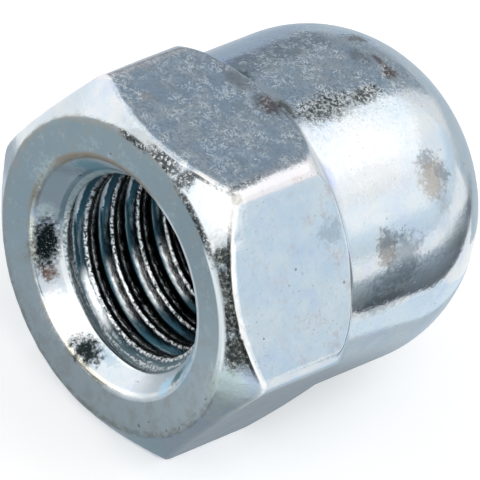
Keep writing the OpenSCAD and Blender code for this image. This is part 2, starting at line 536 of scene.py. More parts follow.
def edge_wear(place):
    """Depth to which the edge between the chamfer and the flats is worn at this place."""
    reach = hexagon_reach(angle_of(place))
    away = math.hypot(off_axis(place) - reach, place.y - chamfer_h(reach))
    worn = max(noise.noise(place * edge_wear_waves) + 0.15, 0)
    return ramp(-away, -edge_wear_w, -edge_wear_w / 4) * worn * edge_wear_depth


def dent_depth(place):
    return sum(
        depth * ramp(-(place - Vector(centre)).length, -size, 0) ** 2
        for centre, size, depth in DENTS.values()
    )


def ragged_rims(place):
    """Share by which the two rims of the bearing face wander outwards and inwards here."""
    r = off_axis(place)
    near = max(ramp(-abs(r - rim), -rim_wander_w, 0) for rim in (mouth_r, face_r))
    low = ramp(-place.y, -0.3, -0.1)
    return rim_wander * noise.noise(place * rim_waves) * near * low / mouth_r


def wear(bm):
    """Wears the edges and dents the outside. Nothing moves outwards but the burrs."""
    for vert in bm.verts:
        wander = 1 + ragged_rims(vert.co)
        vert.co.x *= wander
        vert.co.z *= wander
    bm.normal_update()
    outside = [v for v in bm.verts if off_axis(v.co) > mouth_r + 0.3]
    outside += [v for v in bm.verts if v.co.y > drill_tip_h]
    for vert in set(outside):
        swell = swell_depth * (1 + noise.noise(vert.co * swell_waves)) * ramp(vert.co.y, 0, 1)
        vert.co -= vert.normal * (swell + edge_wear(vert.co) + dent_depth(vert.co))


def end_mesh(name, bm):
    mesh = bpy.data.meshes.new(name)
    bm.to_mesh(mesh)
    bm.free()
    return mesh


def add_object(name, data):
    made = bpy.data.objects.new(name, data)
    bpy.context.scene.collection.objects.link(made)
    return made


def make_nut():
    bm = bmesh.new()
    make_hole(bm)
    outside = bmesh.new()
    make_outside(outside)
    shell = end_mesh("outside", outside)
    bm.from_mesh(shell)
    bpy.data.meshes.remove(shell)
    join_hole(bm)
    soften(bm, lambda a: mouth_r, lambda a: 0, mouth_round)
    soften(bm, lambda a: face_r, lambda a: 0, face_round)
    soften(bm, hexagon_reach, lambda a: chamfer_h(hexagon_reach(a)), flat_round)
    wear(bm)
    for face in bm.faces:
        face.smooth = True
    bmesh.ops.scale(bm, verts=bm.verts[:], vec=(MM, MM, MM))
    nut = add_object("cap_nut_plated", end_mesh("cap_nut_plated", bm))
    weighted = nut.modifiers.new("flat_faces_stay_flat", "WEIGHTED_NORMAL")
    weighted.keep_sharp = False
    return nut


# ---- masks of the plating

# Cloudy patterns: how far their place is moved, so that none follows another; their features
# to the millimetre, detail and roughness; and the noise's values between which they fade in
PATTERNS = {
    "violet": ((11, 2, 4), (0.8, 3), (0.56, 0.68)),
    "mottle": (None, (4.5, 5, 0.75), (0.42, 0.3, 0, 0.45)),
    "pink": ((3, 13, 8), (1.3, 5, 0.7), (0.52, 0.7)),
    "patches": ((9, 1, 2), (1.7, 5, 0.75), (0.58, 0.36, 0.1, 0.75)),
    "bluish": ((2, 2, 6), (0.9, 4, 0.7), (0.4, 0.62, 0.1, 0.7)),
    "dark_flecks": ((4, 4, 4), (9, 3, 0.7), (0.49, 0.37, 0, 0.75)),
    "face_mottle": (None, (1.3, 6, 0.75), (0.45, 0.62)),
    "blue_mottle": ((8, 8, 1), (2.2, 5, 0.8), (0.52, 0.68)),
    "broken": (None, (2.6, 5, 0.8), (0.42, 0.56)),
    "scorched": ((6, 2, 3), (3.2, 5, 0.8), (0.28, 0.46)),
    "shreds": ((4, 1, 7), (9, 3, 0.7), (0.44, 0.52)),
    "broken_line": ((2, 7, 7), (1.5, 3), (0.36, 0.5)),
    "edge_gaps": (None, (1.9, 3), (0.42, 0.5)),
    "shadow_gaps": ((1, 1, 6), (2.4, 3), (0.32, 0.42)),
    "specks": ((5, 5, 2), (14, 2, 0.7), (0.6, 0.66)),
    "wormy": ((1, 4, 9), (1.8, 3), (0.36, 0.62)),
    "roughness": (None, (1.4, 4, 0.6), (0.35, 0.65, 0.12, 0.22)),
}

# Regions of the surface, as the product of their terms. A term is another mask, or a measure
# and the two values between which it fades in, from 0 to 1 unless it says otherwise, or a
# band: a measure, the band's middle and its width.
REGIONS = {
    "face": (("height", 0.05, 0.01), ("r", mouth_r - 0.02, mouth_r + 0.03)),
    "chamfer": (("r", face_r - 0.03, face_r + 0.04), ("band", "off_chamfer", 0.0, 0.16)),
    "chamfer_foot": (("height", 0.22, 0.12), ("band", "r", face_r - 0.02, 0.17)),
    "chamfer_top": (("chamfer",), ("r", face_r, face_r + 0.1)),
    "muted_chamfer": (("chamfer_top",), ("across", 3.6, 4.2), ("up", 5.2, 4.6)),
    "mouth": (("height", 0.2, 0.1), ("band", "r", mouth_r + 0.03, 0.13)),
    "creamy": (("band", "r", mouth_r - 0.06, 0.08), ("height", 0.3, 0.2)),
    "rim": (("height", 0.3, 0.2), ("band", "r", mouth_r + 0.02, 0.2)),
    "brown_rim": (("rim",), ("up", -0.7, 0.5), ("across", 1.5, 0)),
    "white_rim": (("rim",), ("across", 0.5, 2), ("r", mouth_r + 0.17, mouth_r + 0.11)),
    "ring_rim": (("height", 0.15, 0.08), ("band", "r", face_r - 0.05, 0.2)),
    "white_foot": (
        ("height", 0.15, 0.08), ("band", "r", face_r - 0.12, 0.18),
        ("across", 3.6, 4.2), ("up", -0.5, 0.1),
    ),
    # A painted highlight along the edge between the chamfer and the flats, partly wear; worn makes
    # it strongest towards +X
    "edge": (
        ("hexagonal", half_flats - 0.13, half_flats - 0.07), ("off_chamfer", 0.18, 0.12),
        ("r", face_r + 0.2, face_r + 0.4), ("up", -2.5, -1, 0.15, 1),
    ),
    "worn": (("across", 0.5, 2.2, 0.12, 1),),
    # A painted shade line on the chamfer, just under its edge with the flats
    "painted_shade_under_edge": (
        ("chamfer",), ("across", 1.4, 2.2), ("up", 0.2, 1),
        ("band", "hexagonal", half_flats - 0.13, 0.07),
    ),
    "side_flat": (("aside", half_flats - 0.1, half_flats - 0.03), ("height", 6.0, 5.7)),
    "upper_flat": (("up", half_flats - 0.1, half_flats - 0.03), ("height", 6.0, 5.7)),
    "rearward": (("height", 1, 5, 0.15, 0.7),),
    "corner": (
        ("r", corner_reach - 0.18, corner_reach - 0.05), ("height", 5.4, 4.9), ("up", 1, 2),
    ),
    "dome": (("height", 5.9, 6.3), ("hole", 1, 0)),
    "dome_top": (("dome",), ("up", 5.5, 6.05)),
    "crown_top": (("dome",), ("up", 5.2, 6.1)),
    "low_dome": (("dome",), ("up", 2.2, 1.2)),
    "greyed": (("tint", 0.38, 0.62),),
    "blue_cone": (("cone",), ("tint", 0.5, 0.62)),
    # Painted reflection of the floor on the bearing face, towards its lower right
    "face_painted_light": (("low_and_right", -4, 8),),
    "rim_line": (("cone",), ("band", "height", 0.86, 0.11)),
    "rim_line_light": (("up", -0.4, -1.2),),
    "cone_end": (("cone",), ("height", 0.92, 0.95)),
    "low_down": (("up", 0.4, -1, 0.2, 1),),
    # The thread's painted shade: dark teal up the flanks, and black below that
    "flank": (("band", "offset", -0.4, 0.19),),
    "first_groove": (("height", 1.6, 1.15, 0, 0.8),),
    "near_groove": (("thread",), ("height", 1.7, 1.3)),
    "bright_streaks": (("streaks", 0.52, 0.66, 0, 0.35),),
    # Painted glints on the ridges near the mouth
    "sparkles": (("height", 1.7, 1.3), ("streaks", 0.47, 0.57), ("shreds",)),
    "ridge": (("band", "offset", 0.0, 0.3),),
    # Painted highlight lines along the ridges' edges
    "near_edge": (("band", "offset", -0.19, 0.09), ("shreds",)),
    "far_edge": (("band", "offset", 0.1, 0.06), ("broken_line",)),
    # Painted shade, darker deeper in the hole
    "deep": (("height", 4.5, 8, 0, 0.8),),
    "torn": (("thread",), ("ridge",)),
}

# Coats of colour, each over those before it: the colour, then masks and shares that multiply
PLATING_COATS = (
    (VIOLET_ZINC, "violet", 0.5),
    (DARK_ZINC, "mottle"),
    (PINK_ZINC, "pink", 0.7),
    (DARK_ZINC, "upper_flat", "patches"),
    (STEEL_BLUE, "topside", "bluish"),
    (PINK_ZINC, "corner", 0.85),
    (DARK_ZINC, "topside", "dark_flecks"),
    (BROWNED_ZINC, "side_flat", "pink", "rearward"),
)
FACE_COATS = (
    (BROWNED, "face_mottle", 0.3),
    (BLUE_ZINC, "blue_mottle", 0.25),
)
RIM_COATS = (
    (BROWNED, "ring_rim", "broken", 0.55),
    (BROWNED, "mouth", "broken", 0.75),
    (CREAM, "creamy"),
    (BLUE_ZINC, "blue_cone"),
    (RIM_BROWN, "brown_rim", "scorched", 0.85),
    (WHITE_GRAIN, "white_rim", 0.8),
    (CLEAN_ZINC, "white_foot"),
)
CONE_END_COATS = (
    (GROOVE_TEAL, "cone_end"),
    # Painted glints on the torn end of the countersink, low down
    (WHITE_GRAIN, "cone_end", "shreds", "low_down"),
)
GROOVE_COATS = (
    (GROOVE_TEAL, "first_groove"),
    (RIDGE_GREY, "bright_streaks"),
    # Painted glints
    (WHITE_GRAIN, "sparkles", 0.8),
)
RIDGE_COATS = (
    (RIDGE_SHADE, "ridge"),
    # Painted highlight lines on the ridges' edges, brightest low down
    (WHITE_GRAIN, "near_edge", "edge_light"),
    (WHITE_GRAIN, "far_edge", 0.8),
    # Painted shade deep in the hole
    (GROOVE_PAINTED_SHADE, "deep"),
)
EDGE_COATS = (
    # A painted highlight along the chamfer's edge, partly wear
    (PAINTED_EDGE_HIGHLIGHT, "edge", "gaps", "worn"),
    # A painted shade line under that edge
    (BLACK_GRAIN, "painted_shade_under_edge", "shadow_gaps", 0.9),
)
FINE_COATS = (
    (WHITE_GRAIN, "open_worms", 0.75),
    (PIT_SHADE, "all_pits", 0.75),
    (BROWNED_ZINC, "speckled", 0.7),
)

# Fine marks: how many to the millimetre, how wide, and in what share of their cells
WORMS = {"Scale": 5.2, "Width": 0.05}
MORE_WORMS = {"Scale": 7.5, "Width": 0.06}
PITS = {"Scale": 1.1, "Size": 0.07, "Share": 0.5}
FINE_PITS = {"Scale": 2.6, "Size": 0.09, "Share": 0.3}
RUST_SPECKS = {"Scale": 4.5, "Size": 0.22, "Share": 0.45}

# Relief, in millimetres
SKIN_RELIEF = 0.004
SWELL_RELIEF = 0.006
WORM_RELIEF = 0.004
GRAIN_RELIEF = 0.012
PIT_RELIEF = 0.012
TEAR_RELIEF = 0.05

# Other shapes of the plating
CROWN_FALL = 0.39  # of the hole's far end, outwards
HOLE_END = (14.35, 14.25)
STREAK_TURNS = 2  # how close the thread's streaks are round the axis
STREAK_ROWS = 16  # and across a ridge
COARSE_RAGGED = 1.4

# Roughness, each laid over those before it
ROUGHNESS = (
    ("low_dome", 0.09),
    ("upper_flat", 0.26),
    ("face", 0.5),
    ("thread", 0.16),
    ("near_groove", 0.5),
    ("satin", 0.55),
    ("white_foot", 0.3),
    ("dull", 0.5),
)


# ---- materials


def put(tree, kind, sockets, **settings):
    """Adds a node. Each socket takes a value or another node's output."""
    node = tree.nodes.new(kind)
    for name, value in settings.items():
        setattr(node, name, value)
    for socket, value in sockets.items():
        if isinstance(value, bpy.types.NodeSocket):
            tree.links.new(value, node.inputs[socket])
        else:
            node.inputs[socket].default_value = value
    return node


def calc(tree, operation, a, b=0.0):
    return put(tree, "ShaderNodeMath", {0: a, 1: b}, operation=operation).outputs[0]


def product(tree, first, *others):
    for other in others:
        first = calc(tree, "MULTIPLY", first, other)
    return first


def most(tree, a, b):
    return calc(tree, "MAXIMUM", a, b)


def vector_calc(tree, operation, a, b=(0, 0, 0)):
    made = put(tree, "ShaderNodeVectorMath", {0: a, 1: b}, operation=operation)
    return made.outputs["Value" if operation in ("LENGTH", "DOT_PRODUCT") else "Vector"]


def level(tree, value, start, end, low=0.0, high=1.0):
    """Runs softly from low, where the value is at start, to high at end."""
    if start > end:
        start, end, low, high = end, start, high, low
    sockets = {"Value": value, "From Min": start, "From Max": end, "To Min": low, "To Max": high}
    made = put(tree, "ShaderNodeMapRange", sockets, interpolation_type="SMOOTHSTEP")
    return made.outputs["Result"]


def cloud(tree, place, scale, detail=2.0, roughness=0.5):
    """Noise with so many features to the millimetre. Mostly between 0.3 and 0.7."""
    sockets = {"Vector": place, "Scale": scale, "Detail": detail, "Roughness": roughness}
    return put(tree, "ShaderNodeTexNoise", sockets).outputs[0]


def blend(tree, mask, under, over):
    """Lays one colour over another. Each is a named colour or a node's output."""
    sockets = {0: mask}
    for socket, color in ((6, under), (7, over)):
        sockets[socket] = color if isinstance(color, bpy.types.NodeSocket) else (*color, 1)
    return put(tree, "ShaderNodeMix", sockets, data_type="RGBA").outputs[2]


def blend_value(tree, mask, under, over):
    return put(tree, "ShaderNodeMix", {0: mask, 2: under, 3: over}, data_type="FLOAT").outputs[0]


def coat(tree, on, color, coats):
    """Lays coats over a colour, by the names of their masks."""
    for over, *shares in coats:
        masks = [on[share] if isinstance(share, str) else share for share in shares]
        color = blend(tree, product(tree, *masks), color, over)
    return color


def shifted(tree, place, x, y, z):
    """The same place moved, so that a second pattern doesn't follow the first."""
    return vector_calc(tree, "ADD", place, (x, y, z))


def new_group(name, vectors, numbers):
    """A node group that puts out one mask. Gives its tree and its input sockets."""
    tree = bpy.data.node_groups.new(name, "ShaderNodeTree")
    for kind, sockets in (("NodeSocketVector", vectors), ("NodeSocketFloat", numbers)):
        for socket in sockets:
            tree.interface.new_socket(socket, in_out="INPUT", socket_type=kind)
    tree.interface.new_socket("Mask", in_out="OUTPUT", socket_type="NodeSocketFloat")
    return tree, tree.nodes.new("NodeGroupInput").outputs


def end_group(tree, mask):
    put(tree, "NodeGroupOutput", {"Mask": mask})
    return tree


def spot_group():
    """A spot with a ragged border, round or stretched along the axes, mottled further out."""
    tree, given = new_group("ragged_spot", ("Place", "Centre", "Size"), ("Ragged",))
    away = vector_calc(tree, "SUBTRACT", given["Place"], given["Centre"])
    away = vector_calc(tree, "LENGTH", vector_calc(tree, "DIVIDE", away, given["Size"]))
    torn = calc(tree, "SUBTRACT", cloud(tree, given["Place"], 3.5, 4, 0.7), 0.5)
    away = calc(tree, "ADD", away, product(tree, torn, given["Ragged"]))
    moved = shifted(tree, given["Place"], 2, 8, 6)
    mottle = level(tree, cloud(tree, moved, 6, 3, 0.7), 0.36, 0.56)
    mottle = most(tree, mottle, level(tree, away, 0.9, 0.4))
    return end_group(tree, product(tree, level(tree, away, 1.2, 0.6), mottle))


def worm_group():
    """Short thin curled marks."""
    tree, given = new_group("worm_marks", ("Place",), ("Scale", "Width"))
    winding = calc(tree, "SUBTRACT", cloud(tree, given["Place"], given["Scale"], 1), 0.5)
    away = calc(tree, "DIVIDE", calc(tree, "ABSOLUTE", winding), given["Width"])
    moved = shifted(tree, given["Place"], 7, 3, 5)
    cut = level(tree, cloud(tree, moved, product(tree, given["Scale"], 0.8), 1), 0.5, 0.56)
    return end_group(tree, product(tree, level(tree, away, 1, 0.3), cut))


def pit_group():
    """Small pits, one to a cell, in some of the cells."""
    tree, given = new_group("pits", ("Place",), ("Scale", "Size", "Share"))
    sockets = {"Vector": given["Place"], "Scale": given["Scale"]}
    cells = put(tree, "ShaderNodeTexVoronoi", sockets)
    near = calc(tree, "DIVIDE", cells.outputs["Distance"], given["Size"])
    chance = put(tree, "ShaderNodeSeparateColor", {0: cells.outputs["Color"]}).outputs[0]
    chosen = calc(tree, "LESS_THAN", chance, given["Share"])
    return end_group(tree, product(tree, level(tree, near, 1, 0.4), chosen))


def band_group():
    """1 where a value is within a width of another, and softly 0 outside it."""
    tree, given = new_group("band", (), ("Value", "Middle", "Width"))
    away = calc(tree, "ABSOLUTE", calc(tree, "SUBTRACT", given["Value"], given["Middle"]))
    return end_group(tree, level(tree, calc(tree, "DIVIDE", away, given["Width"]), 1, 0.5))


groups = {"spot": spot_group(), "worms": worm_group(), "pits": pit_group(), "band": band_group()}


def use_group(tree, name, **values):
    return put(tree, "ShaderNodeGroup", values, node_tree=groups[name]).outputs["Mask"]


def ridge_offset(tree, place):
    """Distance along the axis from the middle of the nearest ridge of the thread."""
    x, height, z = put(tree, "ShaderNodeSeparateXYZ", {0: place}).outputs
    wound = product(tree, calc(tree, "ARCTAN2", x, z), pitch / FULL_TURN)
    above = calc(tree, "SUBTRACT", calc(tree, "SUBTRACT", height, first_ridge_h), wound)
    sockets = {0: above, 1: pitch / 2, 2: -pitch / 2}
    return put(tree, "ShaderNodeMath", sockets, operation="WRAP").outputs[0]


def measure(tree, place):
    """Measures from the place in millimetres, by which the masks are laid."""
    across, height, up = put(tree, "ShaderNodeSeparateXYZ", {0: place}).outputs
    off_axis = vector_calc(tree, "MULTIPLY", place, (1, 0, 1))
    round_axis = vector_calc(tree, "NORMALIZE", off_axis)
    r = vector_calc(tree, "LENGTH", off_axis)
    chamfer = product(tree, calc(tree, "SUBTRACT", r, face_r), chamfer_slope)
    hexagonal = 0.0  # how far out towards the nearest flat
    for x, z in ((0, 1), (math.sin(FLAT_ANGLE), 0.5), (-math.sin(FLAT_ANGLE), 0.5)):
        facing = vector_calc(tree, "DOT_PRODUCT", place, (x, 0, z))
        hexagonal = most(tree, calc(tree, "ABSOLUTE", facing), hexagonal)
    ragged = calc(tree, "SUBTRACT", cloud(tree, place, 5, 4, 0.7), 0.5)
    offset = calc(tree, "ADD", ridge_offset(tree, place), product(tree, ragged, 0.12))
    turned = vector_calc(tree, "MULTIPLY", round_axis, (STREAK_TURNS, 0, STREAK_TURNS))
    along = put(tree, "ShaderNodeCombineXYZ", {"Y": product(tree, offset, STREAK_ROWS)}).outputs[0]
    return {
        "across": across,
        "height": height,
        "up": up,
        "r": r,
        "round_axis": round_axis,
        "off_chamfer": calc(tree, "SUBTRACT", height, chamfer),
        "off_cone": calc(tree, "ADD", r, product(tree, height, countersink_slope)),
        "below_crown": calc(tree, "ADD", height, product(tree, r, CROWN_FALL)),
        "hexagonal": hexagonal,
        "aside": calc(
            tree, "ADD", product(tree, across, math.sin(FLAT_ANGLE)), product(tree, up, 0.5)
        ),
        "low_and_right": calc(
            tree, "SUBTRACT", product(tree, across, 0.6), product(tree, up, 1.3)
        ),
        "offset": offset,
        "streaks": cloud(tree, vector_calc(tree, "ADD", turned, along), 1, 3, 0.6),
        "tint": cloud(tree, place, 0.55, 4, 0.62),
    }


def find_term(tree, on, name, *numbers):
    """A term of a region: a mask, a measure's level, or the band round a value of it."""
    if name == "band":
        value, middle, width = numbers
        return use_group(tree, "band", Value=on[value], Middle=middle, Width=width)
    return level(tree, on[name], *numbers) if numbers else on[name]


def find_regions(tree, place):
    """The measures, and by them the masks of the nut's own faces, edges and patterns."""
    on = measure(tree, place)
    for name, (shift, values, ends) in PATTERNS.items():
        moved = shifted(tree, place, *shift) if shift else place
        on[name] = level(tree, cloud(tree, moved, *values), *ends)
    on["hole"] = product(
        tree, level(tree, on["r"], mouth_r + 0.02, mouth_r - 0.03),
        level(tree, on["below_crown"], *HOLE_END),
    )
    on["cone"] = product(
        tree, on["hole"], level(tree, on["off_cone"], mouth_r + 0.06, mouth_r + 0.02)
    )
    on["thread"] = calc(tree, "SUBTRACT", on["hole"], on["cone"])
    for name, terms in REGIONS.items():
        on[name] = product(tree, *(find_term(tree, on, *term) for term in terms))
    on["topside"] = most(tree, on["upper_flat"], product(tree, on["dome_top"], 0.8))
    # Where the ridges' painted highlight lines are brightest: low down, and on the -X side
    on["edge_light"] = most(
        tree, level(tree, on["up"], 1, -1.5, 0.35, 1), level(tree, on["across"], -3.4, -3.6)
    )
    on["gaps"] = most(tree, on["edge_gaps"], level(tree, on["up"], 5.9, 5.3))
    on["muted"] = most(tree, on["muted_chamfer"], product(tree, on["dome"], 0.4))
    satin = most(tree, level(tree, on["across"], 1.5, 3), level(tree, on["up"], 1.6, 2.8))
    on["satin"] = most(tree, product(tree, on["cone"], satin), on["cone_end"])
    return on


def spot(tree, place, centre, size, ragged):
    return use_group(tree, "spot", Place=place, Centre=centre, Size=size, Ragged=ragged)


def stained(tree, on, color, place):
    """Lays the stains on a colour, in their order. Finds also where they are black and pale."""
    on["dull"] = 0.0
    on["clean"] = 0.0
    for centre, size, ragged, strength, stain in STAINS.values():
        mask = spot(tree, place, centre, size, ragged)
        color = blend(tree, product(tree, mask, strength), color, stain)
        if max(stain) < 0.15:
            on["dull"] = most(tree, on["dull"], mask)
        if min(stain) > 0.75:
            on["clean"] = most(tree, on["clean"], mask)
    return coat(tree, on, color, ((WHITE_GRAIN, "dull", "specks", 0.25),))


def grained(tree, on, color, place):
    """Lays black and white grains where the plating is coarse."""
    coarse = 0.0
    for region, places in COARSE_PLACES.items():
        for centre, size in places:
            mask = spot(tree, place, centre, size, COARSE_RAGGED)
            coarse = most(tree, coarse, product(tree, mask, on[region]))
    on["coarse"] = product(tree, coarse, level(tree, on["edge"], 0.6, 0.1))
    crowded = calc(
        tree, "SUBTRACT", cloud(tree, place, 8, 5, 0.75), product(tree, on["muted"], 0.01)
    )
    crowded = calc(tree, "ADD", crowded, product(tree, on["dome"], 0.03))
    on["grains"] = level(tree, crowded, 0.5, 0.64)
    dark = blend(tree, on["muted"], BLACK_GRAIN, OLIVE_GRAIN)
    light = blend(tree, on["muted"], WHITE_GRAIN, GREY_GRAIN)
    grain_color = blend(tree, on["grains"], dark, light)
    return coat(tree, on, color, ((grain_color, "coarse", 0.9),))


def finely_marked(tree, on, color, place):
    """Lays worms, pits and specks of rust."""
    worms = use_group(tree, "worms", Place=place, **WORMS)
    moved = shifted(tree, place, 3, 9, 1)
    worms = most(tree, worms, use_group(tree, "worms", Place=moved, **MORE_WORMS))
    smooth_places = most(tree, on["face"], on["hole"])
    upper = most(tree, on["upper_flat"], on["crown_top"])
    on["open_worms"] = product(
        tree, worms, level(tree, smooth_places, 1, 0), most(tree, upper, 0.12), on["wormy"]
    )
    pits = use_group(tree, "pits", Place=place, **PITS)
    fine_pits = use_group(tree, "pits", Place=place, **FINE_PITS)
    on["all_pits"] = product(tree, most(tree, pits, fine_pits), level(tree, on["clean"], 0.3, 0))
    rust_specks = use_group(tree, "pits", Place=place, **RUST_SPECKS)
    on["speckled"] = product(
        tree, most(tree, on["dome"], on["side_flat"]), rust_specks,
        level(tree, on["tint"], 0.35, 0.6),
    )
    return coat(tree, on, color, FINE_COATS)


def thread_color(tree, on):
    """The thread's grooves are black with dark teal up their flanks, as painted shade, and black
    deep in the hole; the flanks and the ridges' edges have painted highlights and glints, and the
    ridges are torn.
    """
    color = blend(tree, on["flank"], GROOVE_PAINTED_SHADE, TEAL_PAINTED_SHADE)
    color = coat(tree, on, color, GROOVE_COATS)
    # Painted highlights on the flanks
    for (x, z), near, start, end in PAINTED_FLANK_HIGHLIGHTS:
        facing = vector_calc(tree, "DOT_PRODUCT", on["round_axis"], (x, 0, z))
        painted_highlight = product(
            tree, level(tree, facing, near, near + 0.06),
            level(tree, on["offset"], start, start + 0.14),
            level(tree, on["offset"], end + 0.03, end),
        )
        color = blend(tree, painted_highlight, color, WHITE_GRAIN)
    return coat(tree, on, color, RIDGE_COATS)


def relief_height(tree, on, place):
    """Relief in millimetres."""
    skin = product(tree, cloud(tree, place, 7, 2, 0.55), SKIN_RELIEF)
    swell = cloud(tree, shifted(tree, place, 5, 5, 5), 1.6, 2)
    relief = calc(tree, "ADD", skin, product(tree, swell, SWELL_RELIEF))
    relief = calc(tree, "ADD", relief, product(tree, on["open_worms"], WORM_RELIEF))
    grains = product(tree, on["coarse"], on["grains"], GRAIN_RELIEF)
    relief = calc(tree, "ADD", relief, grains)
    relief = calc(tree, "SUBTRACT", relief, product(tree, on["all_pits"], PIT_RELIEF))
    tears = product(tree, on["torn"], cloud(tree, place, 8, 3, 0.7), TEAR_RELIEF)
    return calc(tree, "ADD", relief, tears)


def zinc_plate():
    """Bright zinc plating with a thin blue passivation, stained and knocked about."""
    material = bpy.data.materials.new("zinc_plate")
    material.use_nodes = True
    tree = material.node_tree
    shader = tree.nodes["Principled BSDF"]
    coordinates = tree.nodes.new("ShaderNodeTexCoord").outputs["Object"]
    place = vector_calc(tree, "MULTIPLY", coordinates, (1 / MM, 1 / MM, 1 / MM))
    on = find_regions(tree, place)

    # Broad tints, from blue to a greyed beige, and the satin bearing face, paler towards its lower
    # right as a painted reflection of the floor
    color = blend(tree, on["greyed"], BLUE_ZINC, GREY_ZINC)
    color = coat(tree, on, color, PLATING_COATS)
    face_color = blend(tree, on["face_painted_light"], FACE_ZINC, FACE_PAINTED_LIGHT_ZINC)
    face_color = coat(tree, on, face_color, FACE_COATS)
    color = blend(tree, on["face"], color, face_color)
    color = coat(tree, on, color, RIM_COATS)

    # The countersink's inner end has a bright line, and beyond it a torn one: a painted highlight
    # and painted glints, white on their lower part
    line_color = blend(tree, on["rim_line_light"], GROOVE_TEAL, WHITE_GRAIN)
    color = coat(tree, on, color, ((line_color, "rim_line", 0.8),))
    color = coat(tree, on, color, CONE_END_COATS)
    color = blend(tree, on["thread"], color, thread_color(tree, on))

    color = coat(tree, on, color, EDGE_COATS)
    color = stained(tree, on, color, place)
    color = grained(tree, on, color, place)
    color = finely_marked(tree, on, color, place)
    tree.links.new(color, shader.inputs["Base Color"])

    rough = on["roughness"]
    for name, value in ROUGHNESS:
        rough = blend_value(tree, on[name], rough, value)
    tree.links.new(rough, shader.inputs["Roughness"])
    chalky = most(tree, on["near_groove"], on["cone_end"])
    tree.links.new(level(tree, chalky, 0, 1, 1, 0.35), shader.inputs["Metallic"])
    height = relief_height(tree, on, place)
    bump = put(tree, "ShaderNodeBump", {"Height": height, "Distance": MM, "Strength": 1.0})
    tree.links.new(bump.outputs["Normal"], shader.inputs["Normal"])
    return material


# ---- camera, light and floor

# The camera: what it looks at and from how far, in millimetres, and its angles in degrees
CAMERA_TARGET = (-0.11, 6.465, -0.893)
CAMERA_ANGLES = (39.74, 39.07)
CAMERA_DISTANCE = 349.09
CAMERA_ROLL = 15.22

# The studio, in metres
STUDIO_R = 0.9
BACK_GAP = 0.01  # from a lamp to its black back
CARD_LIFT = 0.00005  # of each card on the floor over the one before it
CARD_TINT = (0.88, 1, 1.1)

# Lamps: azimuth, elevation, width and height in degrees, and radiance
SOFTBOXES = {
    "left_softbox": (-90, 18, 80, 84, 1.28),
    "front_softbox": (0, 25, 32, 56, 1.45),
    "front_right_softbox": (27, 42, 22, 30, 1.4),
    "right_softbox": (96, 56, 72, 34, 1.45),
    "right_low_softbox": (96, 26, 72, 26, 1.25),
    "rear_softbox": (158, 51, 44, 30, 1.42),
    "rear_low_softbox": (158, 24, 44, 24, 1.15),
}

# Cards: azimuth, elevation, width and height in degrees, shade, and shade at the low end
CARDS = {
    "rear_card": (-148, 20, 36, 84, 0.42),
    "rear_low_card": (140, 3, 80, 22, 1.02, 0.7),
    "rear_left_low_card": (-126, 6, 12, 36, 0.3),
    "front_card": (-33, -1, 32, 34, 0.25),
    "right_card": (28, -5, 28, 42, 0.4),
}

# Cards on the floor: azimuth in degrees, the near and the far end and the width at each in
# millimetres, shade, shade at the far end, and how far aside
FLOOR_CARDS = {
    "right_floor_card": (37, 19, 400, 5.5, 110, 0.3),
    "front_floor_card": (0, 20, 400, 12, 240, 0.62),
    "left_floor_card": (-90, 10, 17, 24, 40, 0.5),
    "rear_left_floor_card": (-155, 12.5, 400, 22, 520, 0.64, 0.7),
    "rear_floor_card": (119, 16.4, 48, 30, 30, 0.17, 0.72, 13),
}

# The dim floor under the nut, in millimetres: its card's size and middle, and the ellipses
# of the shadow, as x, y and the reach along each
CONTACT_SIZE = (25.2, 29.8)
CONTACT_Y = 4.1
CONTACT_SHADOWS = ((-1.5, 5.5, 10.5, 12.5), (4, -1, 9, 5.5))


def aim(obj, place, target, roll=0.0):
    """Puts a lamp, camera or card in place with its -Z towards the target."""
    turn = (target - place).to_track_quat("-Z", "Y").to_matrix().to_4x4()
    obj.matrix_world = Matrix.Translation(place) @ turn @ Matrix.Rotation(roll, 4, "Z")


def from_angles(azimuth, elevation):
    """Direction to what stands at an azimuth (0 in front of the mouth) and elevation."""
    a = math.radians(azimuth)
    e = math.radians(elevation)
    return Vector((math.sin(a) * math.cos(e), -math.cos(a) * math.cos(e), math.sin(e)))


def add_camera():
    data = bpy.data.cameras.new("camera")
    data.lens = 727
    data.sensor_width = 36
    data.clip_start = 0.01
    data.clip_end = 10
    camera = add_object("camera", data)
    target = Vector(CAMERA_TARGET) * MM
    place = target + from_angles(*CAMERA_ANGLES) * CAMERA_DISTANCE * MM
    aim(camera, place, target, math.radians(CAMERA_ROLL))
    bpy.context.scene.camera = camera


def seen_directly(tree):
    """1 for what the camera sees, straight or in a mirror or a glass, and otherwise 0."""
    rays = tree.nodes.new("ShaderNodeLightPath").outputs
    seen = most(tree, rays["Is Camera Ray"], rays["Is Glossy Ray"])
    return most(tree, seen, rays["Is Transmission Ray"])


def scaled(tree, value, low, high):
    """A mask from 0 to 1, brought to run from low to high."""
    sockets = {"Value": value, "To Min": low, "To Max": high}
    return put(tree, "ShaderNodeMapRange", sockets).outputs["Result"]


def set_world():
    world = bpy.data.worlds.new("studio")
    world.use_nodes = True
    tree = world.node_tree
    background = tree.nodes["Background"]
    background.inputs["Color"].default_value = (1, 1, 1, 1)
    tree.links.new(scaled(tree, seen_directly(tree), 0.35, 1), background.inputs["Strength"])
    bpy.context.scene.world = world
    bpy.context.scene.view_settings.view_transform = "Standard"


def matt_material(name, shade):
    material = bpy.data.materials.new(name)
    material.use_nodes = True
    shader = material.node_tree.nodes["Principled BSDF"]
    shader.inputs["Base Color"].default_value = (shade, shade, shade, 1)
    shader.inputs["Roughness"].default_value = 1
    shader.inputs["Specular IOR Level"].default_value = 0
    return material


